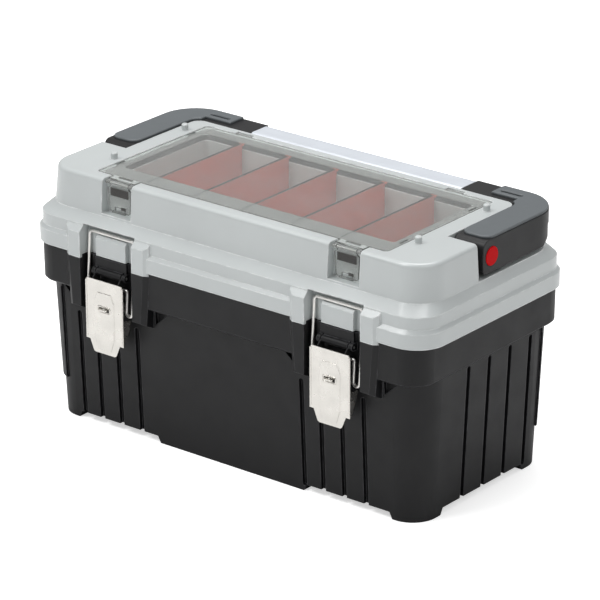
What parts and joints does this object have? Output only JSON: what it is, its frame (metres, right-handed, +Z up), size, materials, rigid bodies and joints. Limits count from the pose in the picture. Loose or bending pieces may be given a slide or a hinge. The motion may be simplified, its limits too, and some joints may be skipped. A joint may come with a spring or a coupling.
{
  "type": "tool box",
  "caption": "Plastic tool box: tapered bin, hinged lid with a divided organiser under a clear cover, fold-down handle and two over-centre wire latches.",
  "frame": {"origin": "centre of the box on the floor", "axes": "+X along the length to the right, +Y to the back where the lid hinges are, +Z up; the latches are at the front on -Y"},
  "size_m": [0.56, 0.2966, 0.308],
  "materials": {
    "bin_plastic": "fine moulded grain, near black",
    "lid_plastic": "fine moulded grain, light grey",
    "handle_plastic": "moulded, dark grey",
    "grip_plastic": "moulded, mid grey",
    "bar_aluminium": "satin",
    "red_plastic": "moulded, red",
    "clear_plastic": "clear, smoke tinted",
    "nickel_steel": "bright nickel plate",
    "zinc_steel": "zinc plate",
    "dark_steel": "blackened steel"
  },
  "bodies": {
    "bin": {"bin": "bin_plastic", "lever_pins": "zinc_steel", "padlock_staples": "nickel_steel", "staple_rivets": "zinc_steel", "lid_hinge_rods": "zinc_steel"},
    "lid": {"lid": "lid_plastic", "divider_1": "red_plastic", "divider_2": "red_plastic", "divider_3": "red_plastic", "divider_4": "red_plastic", "divider_5": "red_plastic", "handle_pivot_pins": "zinc_steel", "cover_hinge_pins": "zinc_steel"},
    "cover": {"clear_cover": "clear_plastic", "flap_pins": "zinc_steel"},
    "left_flap": {"left_snap_flap": "clear_plastic"},
    "right_flap": {"right_snap_flap": "clear_plastic"},
    "handle": {"right_handle_bracket": "handle_plastic", "left_handle_bracket": "handle_plastic", "right_arm_cover": "grip_plastic", "left_arm_cover": "grip_plastic", "grip_bar": "bar_aluminium", "right_pivot_cap": "red_plastic", "left_pivot_cap": "red_plastic", "grip_screws": "zinc_steel"},
    "left_lever": {"left_latch_lever": "nickel_steel", "left_latch_leaf": "dark_steel"},
    "right_lever": {"right_latch_lever": "nickel_steel", "right_latch_leaf": "dark_steel"},
    "left_bail": {"left_latch_bail": "nickel_steel"},
    "right_bail": {"right_latch_bail": "nickel_steel"}
  },
  "joints": [
    {"name": "lid_hinge", "type": "hinge", "parent": "bin", "child": "lid", "pos_m": [0, 0.1428, 0.212], "axis": [-1, 0, 0], "range_deg": [0, 100]},
    {"name": "cover_hinge", "type": "hinge", "parent": "lid", "child": "cover", "pos_m": [0, 0.095, 0.2973], "axis": [-1, 0, 0], "range_deg": [0, 100]},
    {"name": "left_flap_hinge", "type": "hinge", "parent": "cover", "child": "left_flap", "pos_m": [-0.16, -0.1125, 0.2966], "axis": [-1, 0, 0], "range_deg": [0, 60]},
    {"name": "right_flap_hinge", "type": "hinge", "parent": "cover", "child": "right_flap", "pos_m": [0.16, -0.1125, 0.2966], "axis": [-1, 0, 0], "range_deg": [0, 60]},
    {"name": "handle_hinge", "type": "hinge", "parent": "lid", "child": "handle", "pos_m": [0, 0, 0.28], "axis": [1, 0, 0], "range_deg": [0, 90]},
    {"name": "left_lever_hinge", "type": "hinge", "parent": "bin", "child": "left_lever", "pos_m": [-0.16, -0.1316, 0.1954], "axis": [-1, 0, 0], "range_deg": [0, 100]},
    {"name": "right_lever_hinge", "type": "hinge", "parent": "bin", "child": "right_lever", "pos_m": [0.16, -0.1316, 0.1954], "axis": [-1, 0, 0], "range_deg": [0, 100]},
    {"name": "left_bail_hinge", "type": "hinge", "parent": "left_lever", "child": "left_bail", "pos_m": [-0.16, -0.1313, 0.181], "axis": [-1, 0, 0], "range_deg": [-112, 0]},
    {"name": "right_bail_hinge", "type": "hinge", "parent": "right_lever", "child": "right_bail", "pos_m": [0.16, -0.1313, 0.181], "axis": [-1, 0, 0], "range_deg": [-112, 0]}
  ],
  "couplings": [
    {"joint": "left_bail_hinge", "follows": "left_lever_hinge", "ratio": -1.1},
    {"joint": "right_bail_hinge", "follows": "right_lever_hinge", "ratio": -1.1}
  ]
}
